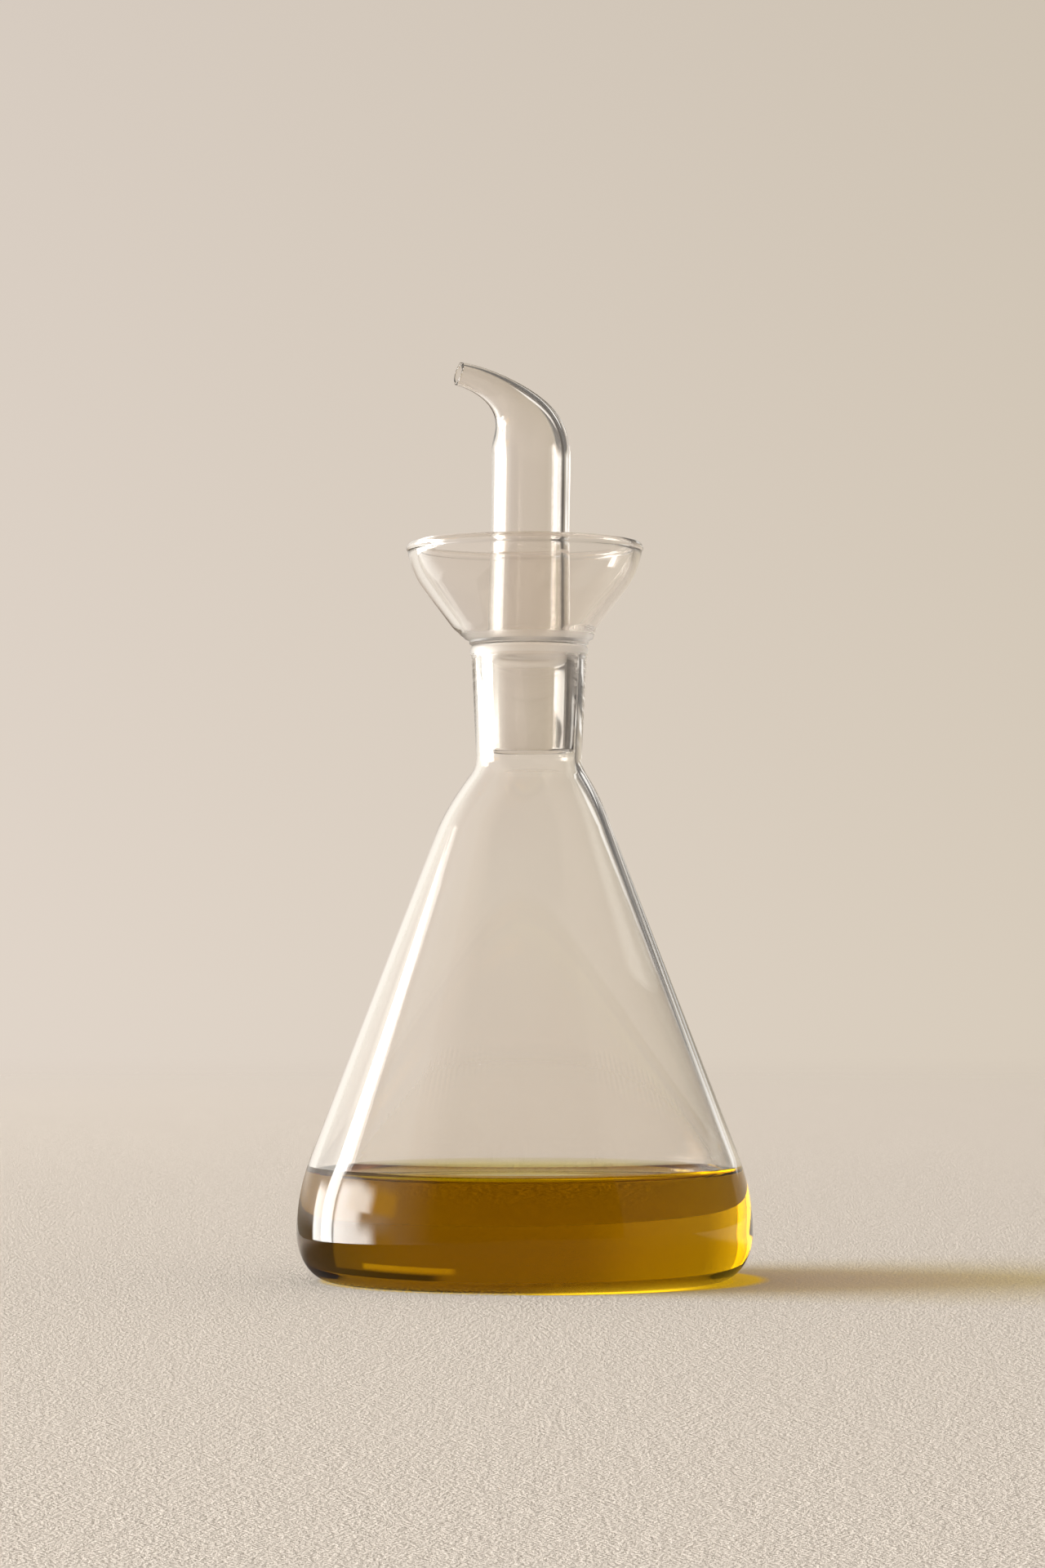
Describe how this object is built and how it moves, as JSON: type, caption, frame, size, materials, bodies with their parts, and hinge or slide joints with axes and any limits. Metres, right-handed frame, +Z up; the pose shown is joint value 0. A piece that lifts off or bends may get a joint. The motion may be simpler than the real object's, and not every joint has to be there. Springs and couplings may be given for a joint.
{
  "type": "oil cruet",
  "caption": "Conical clear glass oil cruet with a glass pourer whose bent spout rises from a drip funnel, part filled with olive oil.",
  "frame": {"origin": "centre of the flask's flat base, on the surface that the cruet stands on", "axes": "+Z up through the neck; the spout points towards -X"},
  "size_m": [0.085, 0.085, 0.1711],
  "materials": {
    "flask_glass": "clear blown glass, fire polished",
    "pourer_glass": "clear lampworked glass, fire polished",
    "olive_oil": "clear golden olive oil"
  },
  "bodies": {
    "root": {"flask": "flask_glass", "pourer": "pourer_glass", "oil": "olive_oil"}
  },
  "joints": []
}
